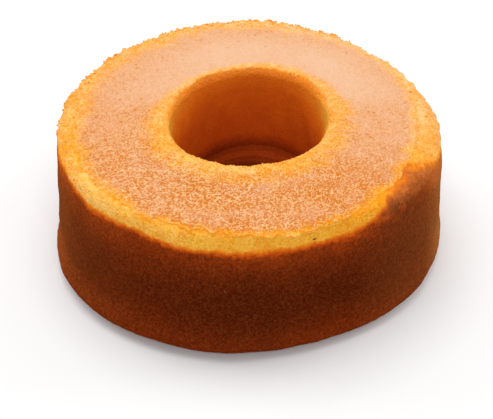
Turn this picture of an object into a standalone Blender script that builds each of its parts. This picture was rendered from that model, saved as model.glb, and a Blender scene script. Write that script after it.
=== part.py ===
"""Cornmeal ring cake, turned out of its tube tin, so the flat face that lay on the tin's floor is on top.

Metres, +Z up. The origin is the middle of the cake's box, on the surface that it stands on. The cake is
one solid, a closed ring: every cross-section through its axis is the same loop of named curves, and each
curve's radius and height vary a little round the ring, as baked things do. Azimuth 0 is along +X.
"""

import bpy
import numpy as np

# The outside, from the table up
FOOT_RADIUS = 0.0942  # the flat ring that the cake rests on ends here
CROWN_RADIUS = 0.1054  # the batter that rose over the tin's rim bulges out this far
CROWN_HEIGHT = 0.010  # height of that bulge's widest line
TIN_LINE_RADIUS = 0.1029  # the waist that the tin's rim left
TIN_LINE_HEIGHT = 0.0215
WALL_RADIUS = 0.0992  # top of the wall, where the shoulder starts
WALL_BOW = 0.0005  # how far the wall swells between the waist and the shoulder
HEIGHT = 0.0775
SHOULDER_DROP = 0.0073  # the soft yellow shoulder between wall and top crust
SHOULDER_POWER = 2.2  # 2 is an ellipse; more is a squarer shoulder

# The top crust and its ragged, slightly curled lip
CRUST_RADIUS = 0.0922
LIP_THICKNESS = 0.0011
LIP_OVERHANG = 0.0009
LIP_WIDTH = 0.0022  # from the torn edge in to the level top
LIP_RISE = 0.0004
LIP_RAGGEDNESS = 0.0007
LIP_SMOOTHING = 0.5  # how much of its neighbour's tear each place shares

# The hole, from the top down: rounded lip, tapered wall, ledge, narrow collar
HOLE_LIP_RADIUS = 0.0480
HOLE_LIP_DROP = 0.0048
HOLE_NECK_RADIUS = 0.0419
LEDGE_RADIUS = 0.0375  # foot of the tapered wall, where the tin's tube ended
LEDGE_HEIGHT = 0.0272
LEDGE_DIP = 0.0012  # the groove at the back of the ledge
COLLAR_RADIUS = 0.0290  # the batter closed in over the tube down to this
COLLAR_HEIGHT = 0.0225
COLLAR_FOOT_RADIUS = 0.0305
COLLAR_FOOT_HEIGHT = 0.004
LEDGE_TILT = 0.4  # how much of the hole's waves the ledge follows in height
COLLAR_SWAY = 0.6  # and how much of them the collar follows in radius

# Unevenness round the ring: (waves per turn, height of the wave in metres, azimuth of a crest in degrees)
OUTER_WAVES = ((2, 0.0002, 3), (3, 0.0022, -24), (4, 0.0011, -5), (6, 0.0002, 27), (7, 0.0002, 8))
CRUST_WAVES = ((1, 0.0012, -137), (2, 0.0014, -70), (3, 0.0009, 35))
HOLE_WAVES = ((1, 0.0009, 37), (2, 0.0011, 50), (3, 0.0006, -35))
SHOULDER_WAVES = ((1, 0.0013, -17), (2, 0.0006, -89))
CROWN_WAVES = ((2, 0.0014, 39), (3, 0.0007, -12), (4, 0.0009, 37))
TIN_LINE_WAVES = ((1, 0.0022, 0),)

# Low relief of the baked surface
WALL_RELIEF = 0.00030
TOP_RELIEF = 0.00035
HOLE_RELIEF = 0.00020
RELIEF_WAVES = 16
RELIEF_TURNS = (5, 24)  # least and most waves round the ring
RELIEF_RUNS = 14.0  # most radians along one curve of the section
RELIEF_SEED = 11

SEGMENTS = 116  # round the ring
SHARP_ANGLE = 50  # degrees

SKIN = ("crust_skin", (0.80, 0.36, 0.14), 0.75)
CRUMB = ("golden_crumb", (0.86, 0.42, 0.06), 0.85)
SIDE = ("browned_side", (0.16, 0.035, 0.006), 0.70)


def clear_scene():
    for thing in list(bpy.data.objects):
        bpy.data.objects.remove(thing, do_unlink=True)


def waves(angle, table):
    """The sum of cosine waves round the ring, each with its own count, height and crest."""
    return sum(high * np.cos(count * (angle - np.radians(crest))) for count, high, crest in table)


def relief(angle, along, seed):
    """Smooth unevenness of about -1 to 1: seeded waves that run both round the ring and along the section."""
    draw = np.random.default_rng(RELIEF_SEED + seed)
    total = np.zeros(np.broadcast(angle, along).shape)
    for _ in range(RELIEF_WAVES):
        turns = draw.integers(*RELIEF_TURNS)
        runs = draw.uniform(-RELIEF_RUNS, RELIEF_RUNS)
        total += np.cos(turns * angle + runs * along + draw.uniform(0, 2 * np.pi))
    return total / np.sqrt(RELIEF_WAVES)


def ragged(angle):
    """The torn outline of the crust's lip: one seeded draw for each segment, evened out a little."""
    draw = np.random.default_rng(RELIEF_SEED).uniform(-1, 1, len(angle))
    return (draw + LIP_SMOOTHING * np.roll(draw, 1)).reshape(-1, 1)


def steps(count):
    """Places 0 to 1 along one curve, without its end, which is the next curve's start."""
    return np.linspace(0, 1, count, endpoint=False).reshape(1, -1)


def level(angle, height):
    """Heights along one curve of the section, the same all round the ring."""
    return np.repeat(height, len(angle), axis=0)


def foot(angle, inner, outer):
    """The flat ring that the cake rests on, from the hole outwards."""
    along = steps(3)
    return inner + (outer - inner) * along, level(angle, 0 * along)


def crown(angle, foot_radius):
    """Quarter of an ellipse from the table out to the widest line, then an eased curve in to the waist."""
    widest = CROWN_RADIUS + waves(angle, OUTER_WAVES) + waves(angle, CROWN_WAVES)
    under = steps(4) * np.pi / 2
    radius_under = foot_radius + (widest - foot_radius) * np.sin(under)
    height_under = level(angle, CROWN_HEIGHT * (1 - np.cos(under)))
    over = steps(3)
    ease = 0.5 + 0.5 * np.cos(np.pi * over)
    waist = TIN_LINE_RADIUS + waves(angle, OUTER_WAVES)
    radius_over = waist + (widest - waist) * ease
    height_over = CROWN_HEIGHT + (tin_line_height(angle) - CROWN_HEIGHT) * over
    return np.hstack([radius_under, radius_over]), np.hstack([height_under, height_over])


def tin_line_height(angle):
    """Height of the waist, which isn't level all round."""
    return TIN_LINE_HEIGHT + waves(angle, TIN_LINE_WAVES)


def shoulder_foot(angle):
    """Height at which the wall ends and the shoulder starts."""
    return HEIGHT - SHOULDER_DROP - waves(angle, SHOULDER_WAVES)


def wall(angle):
    """The wall, leaning in from the waist to the shoulder with a faint bow and a baked unevenness."""
    along = steps(8)
    lean = TIN_LINE_RADIUS + (WALL_RADIUS - TIN_LINE_RADIUS) * along
    bow = WALL_BOW * np.sin(np.pi * along)
    fade = np.sqrt(np.sin(np.pi * along))
    uneven = WALL_RELIEF * fade * relief(angle, along, 1)
    radius = lean + bow + waves(angle, OUTER_WAVES) + uneven
    start = tin_line_height(angle)
    return radius, start + (shoulder_foot(angle) - start) * along


def crust_edge(angle):
    return CRUST_RADIUS + waves(angle, CRUST_WAVES) + LIP_RAGGEDNESS * ragged(angle)


def shoulder(angle):
    """Quarter of a superellipse from the top of the wall up and in to the groove under the crust's lip."""
    turn = steps(5) * np.pi / 2
    start = WALL_RADIUS + waves(angle, OUTER_WAVES)
    end = crust_edge(angle) - LIP_OVERHANG
    low, high = shoulder_foot(angle), HEIGHT - LIP_THICKNESS
    radius = end + (start - end) * np.cos(turn) ** (2 / SHOULDER_POWER)
    height = low + (high - low) * np.sin(turn) ** (2 / SHOULDER_POWER)
    return radius, height


def lip(angle):
    """The crust's torn edge: back under the lip, out to its edge, and up onto it."""
    edge = crust_edge(angle)
    inset = np.array([[LIP_OVERHANG, 0.0, LIP_OVERHANG / 3]])
    drop = np.array([[LIP_THICKNESS, LIP_THICKNESS / 2, -LIP_RISE]])
    return edge - inset, level(angle, HEIGHT - drop)


def hole_lip_radius(angle):
    return HOLE_LIP_RADIUS + waves(angle, HOLE_WAVES)


def top(angle):
    """The flat top, from inside the crust's lip to the hole's rounded lip, with the relief of a baked face."""
    along = steps(9)
    start = crust_edge(angle) - LIP_WIDTH
    radius = start + (hole_lip_radius(angle) - start) * along
    height = HEIGHT - TOP_RELIEF + TOP_RELIEF * relief(angle, along, 2)
    return radius, height


def hole_lip(angle):
    """Quarter of an ellipse from the top over into the hole."""
    turn = steps(4) * np.pi / 2
    start, end = hole_lip_radius(angle), HOLE_NECK_RADIUS + waves(angle, HOLE_WAVES)
    radius = end + (start - end) * (1 - np.sin(turn))
    height = HEIGHT - TOP_RELIEF - HOLE_LIP_DROP * (1 - np.cos(turn))
    return radius, level(angle, height)


def hole_wall(angle):
    """The wall that the tin's tapered tube left, narrowing downwards to the back of the ledge."""
    along = steps(6)
    top_height = HEIGHT - TOP_RELIEF - HOLE_LIP_DROP
    lean = HOLE_NECK_RADIUS + (LEDGE_RADIUS - HOLE_NECK_RADIUS) * along
    uneven = HOLE_RELIEF * np.sin(np.pi * along) * relief(angle, along, 3)
    height = top_height + (LEDGE_HEIGHT - top_height) * along
    return lean + waves(angle, HOLE_WAVES) + uneven, level(angle, height)


def ledge(angle):
    """The ledge inside the hole: a groove at its back, a gentle slope, and a rounded inner edge."""
    reach = LEDGE_RADIUS - COLLAR_RADIUS
    inset = np.array([[0.0, 0.12, 0.45, 0.80, 0.96]]) * reach
    height = np.array([[LEDGE_HEIGHT, LEDGE_HEIGHT - LEDGE_DIP, LEDGE_HEIGHT, LEDGE_HEIGHT - LEDGE_DIP,
                        COLLAR_HEIGHT + LEDGE_DIP]])
    sway = waves(angle, HOLE_WAVES)
    return LEDGE_RADIUS - inset + sway, height + LEDGE_TILT * sway


def collar(angle):
    """The narrow bottom of the hole, opening a little towards its rounded foot."""
    middle_radius = (COLLAR_RADIUS + COLLAR_FOOT_RADIUS) / 2
    radius = np.array([[COLLAR_RADIUS, middle_radius, COLLAR_FOOT_RADIUS]])
    height = np.array([[COLLAR_HEIGHT, 0.5 * COLLAR_HEIGHT, COLLAR_FOOT_HEIGHT]])
    return radius + COLLAR_SWAY * waves(angle, HOLE_WAVES), level(angle, height)


def cake_mesh():
    """Every section's loop in turn, joined to the next one round the ring, and put middle over the origin."""
    angle = np.linspace(0, 2 * np.pi, SEGMENTS, endpoint=False).reshape(-1, 1)
    inner_foot = COLLAR_FOOT_RADIUS + COLLAR_FOOT_HEIGHT + COLLAR_SWAY * waves(angle, HOLE_WAVES)
    outer_foot = FOOT_RADIUS + waves(angle, OUTER_WAVES)
    sections = (
        (SIDE, foot(angle, inner_foot, outer_foot)),
        (SIDE, crown(angle, outer_foot)),
        (SIDE, wall(angle)),
        (CRUMB, shoulder(angle)),
        (SKIN, lip(angle)),
        (SKIN, top(angle)),
        (CRUMB, hole_lip(angle)),
        (SIDE, hole_wall(angle)),
        (SIDE, ledge(angle)),
        (SIDE, collar(angle)),
    )
    radius = np.hstack([curve[0] for _, curve in sections])
    height = np.hstack([curve[1] for _, curve in sections])
    finish = [look for look, curve in sections for _ in range(curve[0].shape[1])]
    points = np.stack([radius * np.cos(angle), radius * np.sin(angle), height], axis=-1).reshape(-1, 3)
    points[:, :2] -= (points[:, :2].min(axis=0) + points[:, :2].max(axis=0)) / 2
    return points, ring_faces(*radius.shape), finish * SEGMENTS


def ring_faces(rounds, along):
    """Four-sided faces of a grid that closes on itself both round the ring and along the section."""
    i, j = np.meshgrid(np.arange(rounds), np.arange(along), indexing="ij")
    this, after = i * along, (i + 1) % rounds * along
    ahead = (j + 1) % along
    return np.stack([this + j, after + j, after + ahead, this + ahead], axis=-1).reshape(-1, 4)


def finish_material(name, colour, roughness):
    material = bpy.data.materials.new(name)
    material.use_nodes = True
    shader = material.node_tree.nodes["Principled BSDF"]
    shader.inputs["Base Color"].default_value = (*colour, 1.0)
    shader.inputs["Roughness"].default_value = roughness
    shader.inputs["Metallic"].default_value = 0.0
    return material


def ring_cake():
    points, faces, finish = cake_mesh()
    mesh = bpy.data.meshes.new("ring_cake")
    mesh.from_pydata(points.tolist(), [], faces.tolist())
    looks = (SKIN, CRUMB, SIDE)
    for look in looks:
        mesh.materials.append(finish_material(*look))
    mesh.polygons.foreach_set("material_index", [looks.index(look) for look in finish])
    mesh.shade_smooth()
    mesh.set_sharp_from_angle(angle=np.radians(SHARP_ANGLE))
    cake = bpy.data.objects.new("ring_cake", mesh)
    bpy.context.scene.collection.objects.link(cake)
    return cake


clear_scene()
ring_cake()
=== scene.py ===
from itertools import combinations

import bpy
import numpy as np
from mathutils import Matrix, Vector


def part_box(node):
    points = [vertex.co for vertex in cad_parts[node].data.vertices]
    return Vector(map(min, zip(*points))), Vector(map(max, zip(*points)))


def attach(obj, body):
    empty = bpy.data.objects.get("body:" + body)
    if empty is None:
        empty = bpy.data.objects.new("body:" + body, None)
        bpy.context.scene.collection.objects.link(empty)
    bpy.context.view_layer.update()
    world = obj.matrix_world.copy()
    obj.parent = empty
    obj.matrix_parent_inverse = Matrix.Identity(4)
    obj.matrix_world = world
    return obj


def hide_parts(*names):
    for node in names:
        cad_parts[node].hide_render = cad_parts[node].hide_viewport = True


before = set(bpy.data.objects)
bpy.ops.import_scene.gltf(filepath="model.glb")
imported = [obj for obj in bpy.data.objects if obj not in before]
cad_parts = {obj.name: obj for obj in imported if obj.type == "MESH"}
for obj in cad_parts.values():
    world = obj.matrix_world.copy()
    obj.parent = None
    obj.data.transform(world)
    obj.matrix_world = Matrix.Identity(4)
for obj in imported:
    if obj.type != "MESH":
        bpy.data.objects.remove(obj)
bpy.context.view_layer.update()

# A cornmeal ring cake, turned out of its tube tin, so the flat face that lay on the tin's floor is on top.
# Metres, +Z up, azimuth 0 along +X, and the front of the photograph at azimuth 270. Seven closed rings make
# the cake: crown, wall and shoulder outside, two of top crust, the rim of the hole and the hole. Each is a
# grid, round the ring and along the section. A table {azimuth: value} goes round the ring in degrees.
MM = 0.001

# The solid's own sizes
FOOT_RADIUS = 0.0942
CROWN_RADIUS = 0.1054
CROWN_HEIGHT = 0.01
TIN_LINE_RADIUS = 0.1029
TIN_LINE_HEIGHT = 0.0215
WALL_RADIUS = 0.0992
WALL_BOW = 0.0005
HEIGHT = 0.0775
SHOULDER_DROP = 0.0073
SHOULDER_POWER = 2.2
CRUST_RADIUS = 0.0922
LIP_THICKNESS = 0.0011
LIP_WIDTH = 0.0022
LIP_RISE = 0.0004
LIP_RAGGEDNESS = 0.0007
LIP_SMOOTHING = 0.5
HOLE_LIP_RADIUS = 0.048
HOLE_LIP_DROP = 0.0048
HOLE_NECK_RADIUS = 0.0419
LEDGE_RADIUS = 0.0375
LEDGE_HEIGHT = 0.0272
LEDGE_DIP = 0.0012
LEDGE_TILT = 0.4
COLLAR_RADIUS = 0.029
COLLAR_HEIGHT = 0.0225
COLLAR_FOOT_RADIUS = 0.0305
COLLAR_FOOT_HEIGHT = 0.004
COLLAR_SWAY = 0.6
OUTER_WAVES = ((2, 0.0002, 3), (3, 0.0022, -24), (4, 0.0011, -5), (6, 0.0002, 27), (7, 0.0002, 8))
CRUST_WAVES = ((1, 0.0012, -137), (2, 0.0014, -70), (3, 0.0009, 35))
HOLE_WAVES = ((1, 0.0009, 37), (2, 0.0011, 50), (3, 0.0006, -35))
SHOULDER_WAVES = ((1, 0.0013, -17), (2, 0.0006, -89))
CROWN_WAVES = ((2, 0.0014, 39), (3, 0.0007, -12), (4, 0.0009, 37))
TIN_LINE_WAVES = ((1, 0.0022, 0),)
WALL_RELIEF = 0.0003
TOP_RELIEF = 0.00035
HOLE_RELIEF = 0.0002
RELIEF_WAVES = 16
RELIEF_TURNS = (5, 24)
RELIEF_RUNS = 14.0
RELIEF_SEED = 11
SOLID_SEGMENTS = 116

# The grids: places round the ring, fine where the crumb shows and coarser on the smooth walls
FINE_ROUNDS = 1400
WALL_ROUNDS = 1040
CROWN_ROUNDS = 900
HOLE_ROUNDS = 700
CRUST_SPLIT_RADIUS = 0.0722  # the crust is two rings, which meet here
RIM_SPLIT_RADIUS = 0.0528  # the inner one ends here and the rim of the hole starts
CRUST_BACK_HEIGHT = 0.0745  # their hidden undersides are level
SHOULDER_SHARE = 0.86  # the shoulder's ring takes over from the wall's at this share of the wall's height
HOLE_SHARE = 0.14  # and the hole's wall from its rim at this share of its depth

# Where the torn lip of the crust stands proud: at the front only
LIP_SHOW = {90: 0, 198: 0, 207: 0.3, 234: 0.35, 250: 0.9, 300: 1, 309: 0.6, 316: 0}
# and how strongly the shoulder's colour is darkened to orange under it, as painted shadow of the lip
LIP_SHADE = {198: 0, 207: 0.6, 216: 0.9, 300: 1, 309: 0.6, 316: 0}
LIP_LEAST, LIP_MOST = 0.08, 0.45  # shares of the solid's lip thickness
LIP_SLOPE = 2.0  # the torn edge is this many times wider than high
LIP_TUCK = 0.0004  # how far the shoulder goes in under the lip
# How far the crust's edge reaches beyond the solid's mean line, in millimetres: two wide tongues
CRUST_REACH = {200: 0, 207: 2.8, 218: 2.2, 228: 3.6, 236: 2.9, 245: 2.2, 251: 0.8, 266: 1.2, 273: 3.4,
    287: 3, 294: 1.8, 305: 0.8, 314: 0}
# How far below the top the yellow shoulder turns brown, in millimetres
BAND_DEPTH = {0: 6, 30: 4, 90: 4, 150: 4.5, 190: 4, 200: 2.8, 206: 3.3, 212: 5.6, 219: 8.2, 230: 7.2,
    236: 6.4, 243: 7.4, 250: 8.5, 256: 9.2, 263: 8.6, 275: 8, 283: 8.8, 290: 8.4, 300: 8.2, 305: 6, 310: 3,
    315: 0.2, 321: -0.5, 329: -1.4, 335: 0.4, 341: 4.8, 348: 7.2}
# How soft the change to brown is, as a factor, and how brown it is just below it
BAND_BLUR = {0: 2.4, 90: 1.5, 180: 1.6, 205: 1.5, 214: 1.8, 300: 1.8, 309: 1.6, 316: 1.3, 327: 1.4,
    336: 2.6, 348: 2.8}
BAND_BROWN = {0: 0.5, 90: 0.55, 180: 0.6, 205: 0.68, 214: 0.76, 228: 0.72, 300: 0.7, 308: 0.62, 315: 0.6,
    322: 0.63, 330: 0.65, 338: 0.54}
WALL_BROWN = 0.86
# How golden the brown of the two flanks is: partly golden baking, partly painted sheen where they turn away
FLANK_GOLD_AND_SHEEN = {0: 0.62, 30: 0.44, 140: 0.3, 190: 0.26, 204: 0.18, 213: 0.08, 225: 0.04, 240: 0, 300: 0,
    314: 0.08, 324: 0.12, 331: 0.18, 338: 0.44, 346: 0.76}
# and how much more golden it is just below the band
BAND_GOLD = {308: 0, 317: 0.42, 332: 0.42, 342: 0}
# How wide the open crumb round the hole and the golden margin at the rim are, in millimetres
RING_WIDTH = {0: 7, 24: 4.8, 48: 2.7, 72: 2.4, 96: 0.8, 120: 0.6, 144: 1.5, 168: 3.5, 185: 6.8, 205: 9,
    220: 9.2, 240: 7.8, 264: 9, 288: 9, 336: 7.5}
MARGIN_WIDTH = {0: 4.5, 24: 3, 48: 3.5, 72: 6, 96: 5.5, 120: 9.5, 144: 10.5, 168: 8.5, 190: 7, 202: 5.6,
    215: 5.2, 228: 5, 240: 3.6, 262: 3.6, 276: 4.6, 290: 6.6, 312: 6.6, 326: 6}
# How strongly the fine relief of the top's skin stands out
TOP_CONTRAST = {0: 0.26, 45: 0.18, 90: 0.1, 135: 0.18, 175: 0.26, 205: 0.62, 222: 0.95, 270: 1, 300: 0.8,
    325: 0.5}
# A painted highlight: how much brighter the crumb is right at the hole's lip; and how much less pale it is
# away from the lip
RING_PAINTED_HIGHLIGHT = {216: 0, 229: 0.7, 240: 0.2, 252: 0.5, 264: 1, 275: 0.5, 285: 0}
RING_FADE = {0: 0.5, 45: 0, 135: 0, 180: 0.5, 210: 0.9, 330: 0.9}
# How pale the crumb of the shoulder and of the ring round the hole is
RIM_PALE = {0: 0.7, 24: 0.88, 48: 0.92, 72: 0.85, 96: 0.76, 120: 0.46, 144: 0.38, 168: 0.42, 192: 0.32,
    203: 0.18, 212: 0.3, 220: 0.24, 238: 0.1, 250: 0, 262: -0.12, 272: -0.2, 305: -0.28, 318: -0.1,
    336: 0.3}
RING_PALE = {0: 0.36, 24: 0.55, 72: 0.58, 96: 0.8, 120: 0.9, 144: 0.8, 168: 0.45, 192: 0.32, 216: 0.2,
    240: 0.22, 256: 0.28, 265: 0.32, 274: 0.28, 288: 0.14, 312: 0.24, 336: 0.42}
# How much deeper in colour the crumb of the side and of the top is
BAND_DEEP = {0: 0.1, 30: 0, 150: 0.05, 170: 0.2, 183: 0.2, 192: 0.25, 203: 0.35, 209: 0.18, 216: -0.5,
    225: -0.32, 235: -0.04, 285: 0, 298: 0.26, 340: 0.26}
TOP_DEEP = {0: 0.18, 60: 0.08, 100: 0.04, 120: 0.1, 180: 0.18, 215: 0.16, 300: 0.2, 330: 0.2}

# The hole: how brown just below its edge, over what depth in millimetres the rest of its brown comes, and
# how much a step in from the edge counts beside a step down
HOLE_BROWN = {0: 0.04, 15: 0.11, 30: 0.2, 45: 0.24, 60: 0.26, 135: 0.26, 150: 0.23, 165: 0.18, 180: 0.14,
    195: 0.12, 270: 0.16}
HOLE_REACH = {0: 42, 15: 36, 30: 38, 45: 27, 60: 22, 90: 20, 120: 22, 135: 27, 150: 33, 165: 31, 180: 42,
    270: 25}
HOLE_EDGE_IN = {0: 0.2, 50: 0.8, 130: 0.8, 180: 0.2, 225: 0, 315: 0}
HOLE_WALL_BROWN = 0.46
# How rough and open the crumb is: the yellow band at the front is smooth
CRUMBLINESS = {0: 1.5, 90: 0.8, 180: 1.3, 200: 1.3, 218: 1, 235: 0.6, 300: 0.45, 318: 1.2}

# How rough the rim of the hole is, against the rest of the top
RIM_ROUGHNESS = {0: 1.4, 40: 1.4, 90: 0.9, 150: 1, 200: 1.1, 270: 1.4, 320: 1.3}
# Where the crust is wrinkled by its lip, and the wrinkles' own size
FOLD_SHOW = {228: 0.15, 246: 0.4, 258: 1, 300: 1, 308: 0}
FOLD_WIDTH = 0.00042  # 2.6 mm from one to the next
FOLD_RISE = 0.00042

# Fine relief: how far apart its forms lie and how high they stand
MEAL_SPACING, PORE_SPACING = 0.0014, 0.0034
MEAL_RISE, LUMP_RISE, PORE_DEPTH = 0.00052, 0.00026, 0.00018  # the top
SIDE_VELVET, SIDE_BUMPS, SIDE_MEAL = 0.00012, 0.0003, 0.00014  # the side where it is brown
SIDE_CRUMB, SIDE_LUMPS = 0.00036, 0.0004  # and added where it is open crumb
HOLE_MEAL, HOLE_VELVET = 0.00009, 0.00008

# The photograph's camera, in its frame of 493 x 419 pixels
FRAME_WIDTH, FRAME_HEIGHT = 493, 419
CAMERA_DISTANCE = 0.6
CAMERA_ELEVATION = 37.997
CAMERA_AIM_HEIGHT = 0.039
FOCAL_PIXELS = 1093.9
AXIS_PIXEL = (247.86, 171.53)  # where the camera's own axis falls in the photograph
SENSOR_WIDTH = 36.0

# Crumbs and tears of the rim, where the tin's corner held the cake, and crumbs at the lip of the hole
RIM_CRUMBS = {0: 0.2, 30: 0.6, 60: 1, 150: 1, 185: 0.6, 198: 0.15, 210: 0, 320: 0, 340: 0.04}
RIM_TEAR = 0.0015
RIM_CRUMB_COUNT = 460
RIM_CRUMB_SIZE = (0.00035, 0.00115)
LIP_CRUMBS = {225: 0, 238: 1, 276: 1, 286: 0.5, 308: 0}
LIP_CRUMB_COUNT = 130
LIP_CRUMB_SIZE = (0.00025, 0.0008)
CRUMB_FROST = 0.55  # how much paler the ridges of open crumb are
SEAM_ANGLE = 1.2  # radians; rings meet at edges sharper than this

# Small dark specks of toasted meal: pixel in the photograph, length in metres
DARK_SPECKS = ((225, 292, 0.0024), (315, 240, 0.002), (365, 242, 0.0021), (290, 267, 0.0017),
               (400, 205, 0.0022), (180, 333, 0.0017), (196, 332, 0.0017), (293, 73, 0.0014))


# ---- random numbers and noise

def hashed(cell, seed):
    """A random number, 0 to 1, for each lattice cell: its three whole numbers, each times an odd number,
    are mixed bit by bit, the same each run."""
    mixed = cell.astype(np.int64)
    mixed = mixed[..., 0] * 73856093 ^ mixed[..., 1] * 19349663 ^ mixed[..., 2] * 83492791 ^ seed * 50331653
    mixed &= 0xFFFFFFFF
    mixed = (mixed ^ mixed >> 15) * 739982445 & 0xFFFFFFFF
    mixed = (mixed ^ mixed >> 12) * 695872825 & 0xFFFFFFFF
    return ((mixed ^ mixed >> 15) & 0xFFFFFF) / 0xFFFFFF


def noise(points, size, seed, octaves=1):
    """Smooth noise, about -1 to 1: random values at the corners of cubes of the given size, eased between
    corners. Each further octave is half as large and half as high."""
    total, high, reach = 0.0, 1.0, 0.0
    for octave in range(octaves):
        place = points / (size / 2 ** octave)
        cell = np.floor(place)
        ease = place - cell
        ease = ease * ease * (3 - 2 * ease)
        for corner in np.ndindex(2, 2, 2):
            share = np.where(np.array(corner) == 1, ease, 1 - ease).prod(axis=-1)
            total = total + high * share * (2 * hashed(cell + corner, seed + octave) - 1)
        reach += high
        high /= 2
    return total / reach * 1.6


def scattered(points, size, seed):
    """Distances to the nearest and second nearest of scattered spots, in spot spacings, and the nearest
    one's random number. Each cube of the given size has one spot somewhere in it."""
    place = points / size
    cell = np.floor(place)
    nearest = np.full(place.shape[:-1], 9.0)
    second = nearest.copy()
    chance = np.zeros_like(nearest)
    for step in np.ndindex(3, 3, 3):
        other = cell + np.array(step) - 1
        spot = other + np.stack([hashed(other, seed + k) for k in range(3)], axis=-1)
        away = np.sqrt(((place - spot) ** 2).sum(axis=-1))
        second = np.minimum(second, np.maximum(nearest, away))
        chance = np.where(away < nearest, hashed(other, seed + 3), chance)
        nearest = np.minimum(nearest, away)
    return nearest, second, chance


def eased(low, high, value):
    """0 below low, 1 above high, and an S-shaped curve between them."""
    share = np.clip((value - low) / (high - low), 0, 1)
    return share * share * (3 - 2 * share)


def around(angle, table):
    """A value read round the ring from a table by azimuth, straight between neighbours."""
    azimuth, value = np.array(sorted(table.items())).T
    return np.interp(np.degrees(angle) % 360, azimuth, value, period=360)


def bell(value):
    """1 at 0, falling along a bell curve to 0.37 at 1 and at -1."""
    return np.exp(-value ** 2)


def on_circle(angle, radius):
    """Points on a level circle, for noise that closes on itself round the ring."""
    return radius * np.stack([np.cos(angle), np.sin(angle), 0 * angle], axis=-1)


# ---- the cake's form

def ring_angles(rounds):
    """Evenly spaced azimuths once round, one to a row."""
    return np.linspace(0, 2 * np.pi, rounds, endpoint=False).reshape(-1, 1)


def row(first, last, count, endpoint=True):
    """Evenly spaced places along one curve."""
    return np.linspace(first, last, count, endpoint=endpoint).reshape(1, -1)


def steps(count):
    """Places 0 to 1 along one curve, without its end, which is the next curve's start."""
    return row(0, 1, count, False)


def level(angle, height):
    """The same row of heights for each azimuth."""
    return np.repeat(height, len(angle), axis=0)


def waves(angle, table):
    """The sum of cosine waves round the ring, each with its own count, height and crest."""
    return sum(high * np.cos(count * (angle - np.radians(crest))) for count, high, crest in table)


def relief(angle, along, seed):
    """The solid's own smooth unevenness: seeded waves that run round the ring and along the section."""
    draw = np.random.default_rng(RELIEF_SEED + seed)
    total = np.zeros(np.broadcast(angle, along).shape)
    for _ in range(RELIEF_WAVES):
        turns = draw.integers(*RELIEF_TURNS)
        runs = draw.uniform(-RELIEF_RUNS, RELIEF_RUNS)
        total += np.cos(turns * angle + runs * along + draw.uniform(0, 2 * np.pi))
    return total / np.sqrt(RELIEF_WAVES)


def torn(angle):
    """The torn outline of the crust's lip: the solid's own seeded draws, one to a segment, straight
    between them, with finer tears of 3 and 1.4 mm."""
    draw = np.random.default_rng(RELIEF_SEED).uniform(-1, 1, SOLID_SEGMENTS)
    draw = draw + LIP_SMOOTHING * np.roll(draw, 1)
    segment = ring_angles(SOLID_SEGMENTS).ravel()
    coarse = np.interp(angle, segment, draw, period=2 * np.pi)
    circle = on_circle(angle, CRUST_RADIUS)
    return coarse + 0.9 * noise(circle, 0.0032, 71) + 1.1 * noise(circle, 0.0015, 72)


def crust_edge(angle):
    """Radius of the crust's torn edge: the solid's wavy mean line, the two tongues and the tears."""
    reach = MM * around(angle, CRUST_REACH)
    return CRUST_RADIUS + waves(angle, CRUST_WAVES) + reach + LIP_RAGGEDNESS * torn(angle)


def hole_lip_radius(angle):
    """Radius of the hole's lip: a circle with waves."""
    return HOLE_LIP_RADIUS + waves(angle, HOLE_WAVES)


def lip_step(angle):
    """How thick the crust's lip shows above the shoulder: most at the front, nearly flush elsewhere, and
    uneven over 9 mm."""
    uneven = 1 + 0.45 * noise(on_circle(angle, CRUST_RADIUS), 0.009, 73, 2)
    return LIP_THICKNESS * (LIP_LEAST + (LIP_MOST - LIP_LEAST) * around(angle, LIP_SHOW) * uneven)


def tin_line_height(angle):
    """Height of the waist, where the tin's rim line was: level but for a slow wave."""
    return TIN_LINE_HEIGHT + waves(angle, TIN_LINE_WAVES)


def shoulder_foot(angle):
    """Height of the shoulder's lower edge: a fixed drop below the top, with waves."""
    return HEIGHT - SHOULDER_DROP - waves(angle, SHOULDER_WAVES)


def inner_foot(angle):
    """Radius where the foot starts: the collar's, rounded off outwards, with some of the hole's waves."""
    return COLLAR_FOOT_RADIUS + COLLAR_FOOT_HEIGHT + COLLAR_SWAY * waves(angle, HOLE_WAVES)


def foot(angle, count):
    """The flat ring that the cake rests on, from the hole outwards."""
    outer = FOOT_RADIUS + waves(angle, OUTER_WAVES)
    inner = inner_foot(angle)
    return inner + (outer - inner) * steps(count), level(angle, 0 * steps(count))


def crown(angle, under_count, over_count):
    """Quarter of an ellipse from the table out to the widest line, then an eased curve in to the waist."""
    start = FOOT_RADIUS + waves(angle, OUTER_WAVES)
    widest = CROWN_RADIUS + waves(angle, OUTER_WAVES) + waves(angle, CROWN_WAVES)
    under = steps(under_count) * np.pi / 2
    radius_under = start + (widest - start) * np.sin(under)
    height_under = level(angle, CROWN_HEIGHT * (1 - np.cos(under)))
    over = steps(over_count)
    ease = 0.5 + 0.5 * np.cos(np.pi * over)
    waist = TIN_LINE_RADIUS + waves(angle, OUTER_WAVES)
    radius_over = waist + (widest - waist) * ease
    height_over = CROWN_HEIGHT + (tin_line_height(angle) - CROWN_HEIGHT) * over
    return np.hstack([radius_under, radius_over]), np.hstack([height_under, height_over])


def wall(angle, first, last, count):
    """The wall from one share of its height to another: leaning in from the waist to the shoulder, with a
    faint bow and the solid's unevenness."""
    along = row(first, last, count)
    lean = TIN_LINE_RADIUS + (WALL_RADIUS - TIN_LINE_RADIUS) * along
    bow = WALL_BOW * np.sin(np.pi * along)
    uneven = WALL_RELIEF * np.sqrt(np.abs(np.sin(np.pi * along))) * relief(angle, along, 1)
    start = tin_line_height(angle)
    return lean + bow + waves(angle, OUTER_WAVES) + uneven, start + (shoulder_foot(angle) - start) * along


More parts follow.
